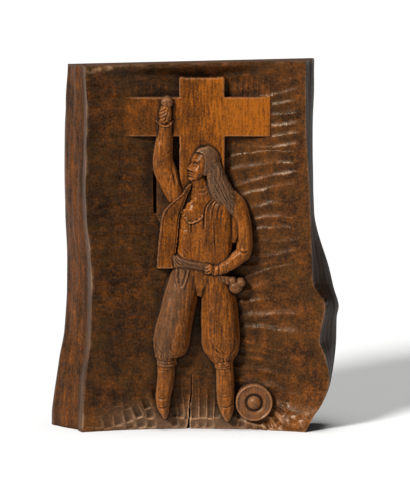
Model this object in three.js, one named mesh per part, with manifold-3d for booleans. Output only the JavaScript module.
// Carved wood panel. One thick slab of a trunk keeps its natural flanks, is hollowed in front to
// a shallow bowl, and leaves a cross, a standing figure and a round shield proud of the hollow.
// Everything is one piece of wood. Millimetres, +Z up, the front looks along -Y, and the origin
// is at the middle of the flat base.

import * as THREE from 'three';
import { mergeVertices } from 'three/addons/utils/BufferGeometryUtils.js';
import Module from 'manifold-3d';

const wasm = await Module();
wasm.setup();

// Driving dimensions of the slab
const THICKNESS = 66;
const FRONT = -THICKNESS / 2;
const TOP_AT_MIDDLE = 497;
const TOP_SLOPE = 0.0385;

// Outlines as height and sideways place: the front edges, then the widest line of each flank
const LEFT_EDGE = [[0, -152], [70, -147], [125, -140], [175, -138], [230, -139], [280, -144],
  [330, -146], [440, -143.5], [491, -146]];
const LEFT_FLANK = [[0, -196.5], [25, -196], [90, -187], [130, -179.5], [208, -175], [300, -177.5],
  [390, -177], [491, -172.5]];
const RIGHT_EDGE = [[0, 150], [20, 160], [40, 173], [70, 182], [105, 176], [125, 168.5],
  [175, 175.5], [200, 160.5], [230, 158], [330, 154], [410, 149], [503, 148]];
const RIGHT_FLANK = [[0, 155], [15, 163], [40, 179], [62, 186.5], [108, 193], [150, 194],
  [166, 196.5], [190, 189.5], [225, 181], [268, 167.5], [295, 162.5], [400, 160], [503, 161.7]];

// How a flank runs back from its front edge: depth, and share of the way out to its widest line
const LEFT_SIDE = [[-10, -0.12], [0, 0], [21, 0.25], [40, 0.68], [56, 1], [THICKNESS, 0.94]];
const RIGHT_SIDE = [[-10, -0.18], [0, 0], [18, 0.36], [36, 0.8], [52, 1], [THICKNESS, 0.86]];
const SLAB_ROWS = 26;
const SLAB_ROWS_CROWD_BASE = 1.25;

// The hollow: its depth up the middle, and the share of it left below the sawn top
const HOLLOW_DEPTH = [[0, 26], [60, 29.5], [120, 30], [600, 30]];
const HOLLOW_UNDER_TOP = [[-20, 0.15], [0, 0.17], [5, 0.22], [10, 0.42], [17, 0.7], [32, 0.9], [60, 1]];

// Gouge cuts that ripple the right half of the hollow, and how their rows climb to the right
const GOUGE_PITCH = 13;
const GOUGE_RISE = 1.1;
const GOUGE_FROM = 25;
const GOUGE_FADE = 45;
const GOUGE_STOP = 0.12;
const GOUGE_LEAN = [[0, -0.1], [60, -0.16], [110, -0.15], [155, 0], [215, 0.1], [265, 0.08],
  [310, 0.14], [400, 0.08], [503, 0.05]];
const GROUND_COLUMNS = 15;
const GROUND_HALF_WIDTH = 215;
const GROUND_LOW = -40;
const GROUND_HIGH = 545;

// The cross
const CROSS_FACE = 14.5;
const CROSS_ARM = { left: -112, right: 102, low: 399, high: 453 };
const CROSS_POST = { left: -21, right: 40.5, low: 205, high: 479.5 };

// Relief forms are rooted this deep in the slab, below the deepest ground
const ROOT = 37;

// The shield
const SHIELD = { x: 80.3, z: 38.4, radius: 25.4, face: 11, lip: 9.6, boss: 9.2, bossTop: 5 };

// The drying crack: where it starts at the base and ends, its widths there and at the notch, how deep
// it goes, and how far its cutting wedge stands clear of the wood
const CRACK = { foot: [-8.5, 0], head: [-4, 76], notch: 5, notchHeight: 7, width: 1.6, tip: 0.4,
  depth: 50, clear: 5 };

const WOOD = new THREE.MeshStandardMaterial({ color: 0x6b3d1c, roughness: 0.45, metalness: 0 });

// Small helpers

/** Smooth value at a place along keys of [place, value], flat past both ends. */
function along(keys, place) {
  const last = keys.length - 1;
  if (place <= keys[0][0]) return keys[0][1];
  if (place >= keys[last][0]) return keys[last][1];
  const i = keys.findIndex((key) => key[0] > place) - 1;
  const slope = (k) => {
    const a = keys[Math.max(k - 1, 0)];
    const b = keys[Math.min(k + 1, last)];
    return (b[1] - a[1]) / (b[0] - a[0]);
  };
  const span = keys[i + 1][0] - keys[i][0];
  const t = (place - keys[i][0]) / span;
  const blend = t * t * (3 - 2 * t);
  const bend = t * (1 - t) * span;
  return keys[i][1] * (1 - blend) + keys[i + 1][1] * blend
    + bend * ((1 - t) * slope(i) - t * slope(i + 1));
}

/** Height of the sawn top above a sideways place. */
function topAt(x) {
  return TOP_AT_MIDDLE + TOP_SLOPE * x;
}

/** A closed geometry as a solid that can be joined and cut. */
function solidOf(geometry) {
  const bare = geometry.clone();
  bare.deleteAttribute('normal');
  bare.deleteAttribute('uv');
  const merged = mergeVertices(bare, 1e-4);
  return new wasm.Manifold(new wasm.Mesh({
    numProp: 3,
    vertProperties: new Float32Array(merged.attributes.position.array),
    triVerts: new Uint32Array(merged.index.array),
  }));
}

/** Moves every vertex of a geometry to the place that a function gives for it. */
function reshape(geometry, place) {
  const position = geometry.attributes.position;
  const vertex = new THREE.Vector3();
  for (let i = 0; i < position.count; i += 1) {
    vertex.fromBufferAttribute(position, i);
    const moved = place(vertex);
    position.setXYZ(i, moved.x, moved.y, moved.z);
  }
  return geometry;
}

/** Point at a depth below the plane of the front edges. */
function at(x, depth, z) {
  return new THREE.Vector3(x, FRONT + depth, z);
}

/** Corner number round a unit cylinder, or -1 for the middle of a cap. */
function cornerOf(vertex, corners) {
  if (Math.hypot(vertex.x, vertex.z) < 0.5) return -1;
  const turn = Math.atan2(vertex.x, vertex.z) / (2 * Math.PI);
  return Math.round((turn + 1) * corners) % corners;
}

// The slab and its hollow

/** The whole slab before carving: flanks, flat back, sawn top and base. */
function slab() {
  const corners = LEFT_SIDE.length + RIGHT_SIDE.length;
  const column = new THREE.CylinderGeometry(1, 1, 1, corners, SLAB_ROWS);
  return solidOf(reshape(column, (vertex) => {
    const share = Math.max(0.5 + vertex.y, 0) ** SLAB_ROWS_CROWD_BASE;
    const height = share * TOP_AT_MIDDLE;
    const corner = cornerOf(vertex, corners);
    let x = 0;
    let depth = THICKNESS / 2;
    if (corner >= 0 && corner < RIGHT_SIDE.length) {
      const [back, out] = RIGHT_SIDE[corner];
      const edge = along(RIGHT_EDGE, height);
      x = edge + out * (along(RIGHT_FLANK, height) - edge);
      depth = back;
    } else if (corner >= 0) {
      const [back, out] = LEFT_SIDE[corners - 1 - corner];
      const edge = along(LEFT_EDGE, height);
      x = edge + out * (along(LEFT_FLANK, height) - edge);
      depth = back;
    }
    return at(x, depth, share * topAt(x));
  }));
}

/** Place across the hollow: -1 at the left front edge, 1 at the right one. */
function acrossAt(x, z) {
  const left = along(LEFT_EDGE, z);
  const right = along(RIGHT_EDGE, z);
  return (2 * x - left - right) / (right - left);
}

/** Depth of the smooth hollow below the plane of the front edges. */
function hollow(x, z) {
  const middle = along(HOLLOW_DEPTH, z) * along(HOLLOW_UNDER_TOP, topAt(x) - z);
  return middle * Math.max(1 - acrossAt(x, z) ** 2, 0);
}

/** All the wood behind the hollow's surface, with gouge ripples along its rows. */
function woodBehindHollow() {
  const rows = Math.round((GROUND_HIGH - GROUND_LOW) / (GOUGE_PITCH / 2));
  const width = 2 * GROUND_HALF_WIDTH;
  const box = new THREE.BoxGeometry(width, 2, rows, GROUND_COLUMNS, 1, rows);
  return solidOf(reshape(box, (vertex) => {
    const row = Math.round(vertex.z + rows / 2);
    const level = GROUND_LOW + row * (GOUGE_PITCH / 2);
    const reach = Math.max(vertex.x - GOUGE_FROM, 0);
    const z = level + along(GOUGE_LEAN, level) * reach;
    if (vertex.y > 0) return at(vertex.x, 2 * THICKNESS, z);
    const inside = THREE.MathUtils.clamp((1 - acrossAt(vertex.x, z)) / GOUGE_STOP, 0, 1);
    const ripple = row % 2 === 0 ? GOUGE_RISE * inside * Math.min(reach / GOUGE_FADE, 1) : 0;
    return at(vertex.x, hollow(vertex.x, z) - ripple, z);
  }));
}

// Carved forms

/**
 * A rounded form that lies along a path on the front. Each station is [x, z, half width, crest],
 * with the crest as a depth below the plane of the front edges. Fullness 1 gives a half ellipse,
 * and less than 1 gives a squarer section.
 */
function form(stations, { steps = stations.length + 3, arch = 9, fullness = 0.85 } = {}) {
  const route = new THREE.CatmullRomCurve3(stations.map(([x, z]) => new THREE.Vector3(x, 0, z)));
  const sizes = new THREE.CatmullRomCurve3(stations.map(([, , a, c]) => new THREE.Vector3(a, c, 0)));
  const tube = new THREE.CylinderGeometry(1, 1, 1, arch, steps);
  return solidOf(reshape(tube, (vertex) => {
    const t = THREE.MathUtils.clamp(0.5 - vertex.y, 0, 1);
    const centre = route.getPoint(t);
    const run = route.getTangent(t);
    const { x: half, y: crest } = sizes.getPoint(t);
    const corner = cornerOf(vertex, arch);
    if (corner < 0) return at(centre.x, (ROOT + crest) / 2, centre.z);
    const angle = Math.PI * (corner / (arch - 1) - 0.5);
    const aside = half * Math.sign(angle) * Math.abs(Math.sin(angle)) ** fullness;
    const rise = Math.max(Math.cos(angle), 0) ** fullness;
    return at(centre.x - run.z * aside, ROOT - (ROOT - crest) * rise, centre.z + run.x * aside);
  }));
}

/** A flat raised shape with upright walls: corners of [x, z], and the depth of its face. */
function plate(corners, face) {
  const outline = new THREE.Shape(corners.map(([x, z]) => new THREE.Vector2(x, z)));
  const geometry = new THREE.ExtrudeGeometry(outline, { depth: ROOT - face, bevelEnabled: false });
  geometry.rotateX(Math.PI / 2);
  geometry.translate(0, FRONT + ROOT, 0);
  return solidOf(geometry);
}

/** A plate with square corners. */
function bar({ left, right, low, high }, face) {
  return plate([[left, low], [right, low], [right, high], [left, high]], face);
}

/** A rounded boss on the front: centre, half width, half height and the depth of its crest. */
function dome(x, z, halfWidth, halfHeight, crest, { rings = 10, fullness = 0.6 } = {}) {
  const ball = new THREE.SphereGeometry(1, 14, rings);
  ball.rotateX(-Math.PI / 2);
  return solidOf(reshape(ball, (vertex) => {
    const out = Math.hypot(vertex.x, vertex.z);
    const spread = out < 1e-6 ? 0 : out ** (fullness - 1);
    const rise = (ROOT - crest) * Math.sign(-vertex.y) * Math.abs(vertex.y) ** fullness;
    return at(x + halfWidth * vertex.x * spread, ROOT - rise, z + halfHeight * vertex.z * spread);
  }));
}

/** The cross, flat-faced, with its arm's left end running out into the rising hollow. */
function cross() {
  return [bar(CROSS_ARM, CROSS_FACE), bar(CROSS_POST, CROSS_FACE)];
}

/** Face turned to the left, the neck, and long hair that falls over the shoulder. */
function head() {
  const skull = dome(13, 364, 22.3, 22.3, 4.5, { rings: 12 });
  const jaw = form([[7, 362, 15, 6], [5.5, 352, 13, 7], [3, 344.5, 10, 8.5], [1.5, 339, 6, 11]],
    { fullness: 0.5 });
  const nose = form([[-7.5, 363, 2.5, 13], [-9.3, 357.5, 3.2, 11.5], [-9.6, 353.5, 3.4, 11],
    [-7, 351, 2.5, 12]], { steps: 4, arch: 7 });
  const mouth = dome(-5.5, 347.8, 4.4, 2.4, 11);
  const chin = dome(-2.8, 341.8, 5, 3.8, 11);
  const neck = form([[9, 350, 13, 8.5], [7.5, 338, 12.5, 9], [7.5, 326, 13.5, 9], [8, 316, 17, 9]],
    { fullness: 0.5 });
  const hair = form([[16, 385.5, 9, 6], [21, 377.5, 13, 3.5], [25.5, 365, 13.5, 2.4],
    [28.5, 352, 13.5, 2], [31, 338, 15.5, 2], [38, 323, 18, 2.2], [48, 309, 18, 3],
    [60, 295, 12.5, 5.5], [69, 280, 6, 10]], { steps: 14, arch: 11, fullness: 0.6 });
  return [skull, jaw, nose, mouth, chin, neck, hair];
}

/** The arm raised to the cross, its cuff, and the fist with what it holds. */
function raisedArm() {
  const arm = form([[-38.5, 416, 11.5, 7], [-42, 392, 12.5, 5.5], [-43.5, 372, 13.5, 4.5],
    [-42, 356, 15, 4], [-35.5, 340, 15, 5], [-28, 324, 15.5, 7], [-20, 308, 16, 9.5]],
  { steps: 11, fullness: 0.7 });
  const cuff = form([[-38.3, 418.5, 13.2, 5], [-38.6, 414, 13.4, 4.6]], { steps: 1, fullness: 0.7 });
  const fist = form([[-38.5, 412, 10.5, 5], [-38.5, 420, 12.5, 2.5], [-38, 430, 13.2, 1.5],
    [-37.5, 439, 10.5, 3]], { steps: 5, fullness: 0.7 });
  const held = dome(-37.3, 443.5, 9.2, 9.4, 3.5);
  const web = plate([[-51.5, 352], [-51.5, 291], [-46, 280], [-47, 224], [-22, 224], [-10, 300],
    [-14, 345]], 20);
  return [arm, cuff, fist, held, web];
}

/** Bare chest, open waistcoat with its two fronts, sash, and hips. */
function torso() {
  const body = form([[8, 330, 17, 10], [14, 321, 32, 8], [19, 305, 41, 6], [17, 284, 41, 5.5],
    [13, 258, 38, 6.5], [10, 238, 37, 7], [8, 220, 37, 6.5], [8, 206, 34, 6.5], [7.5, 194, 22, 8.5],
    [7, 184, 8, 14]], { steps: 13, arch: 13, fullness: 0.5 });
  const flap = plate([[-5, 331], [-12, 330], [-20, 319], [-33, 307], [-41, 297], [-45.5, 280],
    [-48, 262], [-51, 222], [-30, 221], [-22, 250], [-18, 285], [-8, 315]], 11.5);
  const coat = form([[36, 319, 13, 6], [33.5, 304, 18, 3.6], [32.5, 284, 18.5, 3], [32.5, 258, 18, 3.6],
    [34, 232, 13, 6]], { steps: 6, fullness: 0.5 });
  const sash = form([[-31, 231, 7, 17], [-27, 230.5, 8.5, 8], [-15, 229, 8, 4.6], [0, 226.5, 7, 4],
    [14, 224.5, 6.5, 4.6]], { steps: 7, fullness: 0.35 });
  return [body, flap, coat, sash];
}

/** The arm bent across the belly, the hand on the sash, and the hilt behind it. */
function bentArm() {
  const upper = form([[49, 318, 11, 7], [56, 306, 14.5, 4], [63, 288, 13, 2.6], [66.5, 268, 12, 1.8],
    [67, 252, 12, 1.4], [65, 240, 11.5, 1.2]], { steps: 8, fullness: 0.7 });
  const fore = form([[71, 250, 7, 5], [67, 244, 10.5, 1.6], [58, 235, 12.5, 0.8], [46, 227, 12, 0.6],
    [34, 221.5, 11, 1.4], [28, 220, 10, 2]], { steps: 7, fullness: 0.6 });
  const hand = form([[29, 221, 9.5, 3.5], [22, 220, 11.5, 1], [15, 220, 11, 1.4], [9.5, 220.5, 8, 4]],
    { steps: 4, fullness: 0.55 });
  const hilt = form([[28, 209, 8, 7], [42, 203, 8.5, 7], [52, 198, 7, 9]], { steps: 3, fullness: 0.7 });
  const pommel = dome(55.5, 196, 9.6, 9.6, 5);
  return [upper, fore, hand, hilt, pommel];
}

/** Wide trousers gathered under the knee, shins, and feet that point down. */
function legs() {
  const left = form([[-10, 224, 20, 7], [-14, 204, 22, 6], [-19.5, 181, 24, 4.5], [-24.5, 158, 24, 2.5],
    [-30, 134, 25.5, 1.2], [-33, 116, 26, 1.2], [-35, 103, 21.5, 3], [-37.5, 91, 13, 9]],
  { steps: 11, fullness: 0.75 });
  const right = form([[27, 224, 19, 7], [29, 199, 22, 6], [32.5, 177, 24.5, 4.5], [34, 150, 26.5, 2.5],
    [36.5, 126, 27, 1.2], [38, 108, 24.5, 2], [39, 96, 17, 7], [40, 89, 12.5, 10]],
  { steps: 11, fullness: 0.75 });
  const leftShin = form([[-38.5, 96, 12, 9.5], [-39.5, 84, 12, 9], [-41, 62, 12.5, 8.5],
    [-43.2, 44, 11.5, 8.5], [-43.5, 30, 8.5, 8], [-42, 18, 5, 10], [-41, 12, 1.5, 14]], { steps: 9 });
  const rightShin = form([[40.5, 96, 12, 9.5], [41.5, 84, 11, 9], [42, 62, 12, 8.5], [42.3, 44, 12, 8.5],
    [43, 27, 10, 8], [43.3, 15, 5.5, 10], [43.5, 8.5, 1.8, 14]], { steps: 9 });
  return [left, right, leftShin, rightShin];
}

/** The round shield that leans by the foot: a dished face with a lip and a domed boss. */
function shield() {
  const { radius, face, lip, boss, bossTop } = SHIELD;
  const up = (depth) => ROOT - depth;
  const profile = [[0, 0], [radius, 0], [radius, up(lip + 1)], [radius - 1.5, up(lip)],
    [radius - 4, up(face)], [boss + 2.5, up(face - 0.6)], [boss, up(face - 1.6)],
    [0.75 * boss, up(bossTop + 1.6)], [0.35 * boss, up(bossTop)], [0, up(bossTop)]];
  const turned = new THREE.LatheGeometry(profile.map(([r, y]) => new THREE.Vector2(r, y)), 28);
  turned.rotateX(Math.PI);
  turned.translate(SHIELD.x, FRONT + ROOT, SHIELD.z);
  return [solidOf(turned)];
}

/** The crack as a thin wedge that widens to a notch at the base. */
function crack() {
  const { foot, head: end, notch, notchHeight, width, tip, depth, clear } = CRACK;
  const widths = [[foot[0], foot[1] - clear, notch], [foot[0], notchHeight, width], [end[0], end[1], tip]];
  const right = widths.map(([x, z, wide]) => new THREE.Vector2(x + wide / 2, z));
  const left = widths.map(([x, z, wide]) => new THREE.Vector2(x - wide / 2, z)).reverse();
  const blade = new THREE.ExtrudeGeometry(new THREE.Shape([...right, ...left]),
    { depth: depth + clear, bevelEnabled: false });
  blade.rotateX(Math.PI / 2);
  blade.translate(0, FRONT + depth, 0);
  return solidOf(blade);
}

// Assembly: the slab behind its hollow, joined with every carved form, less the crack

/** A joined solid as a named mesh. */
function meshOf(solid, name, material) {
  const { vertProperties, triVerts } = solid.getMesh();
  const geometry = new THREE.BufferGeometry();
  geometry.setAttribute('position', new THREE.BufferAttribute(new Float32Array(vertProperties), 3));
  geometry.setIndex(new THREE.BufferAttribute(new Uint32Array(triVerts), 1));
  geometry.computeVertexNormals();
  const mesh = new THREE.Mesh(geometry, material);
  mesh.name = name;
  return mesh;
}

const block = slab();
let carving = block.intersect(woodBehindHollow());
const figure = [...torso(), ...head(), ...raisedArm(), ...bentArm(), ...legs()];
for (const piece of [...cross(), ...figure, ...shield()]) {
  carving = carving.add(piece);
}
carving = carving.intersect(block).subtract(crack());

const panel = new THREE.Group();
panel.add(meshOf(carving, 'carved_panel', WOOD));

export default panel;
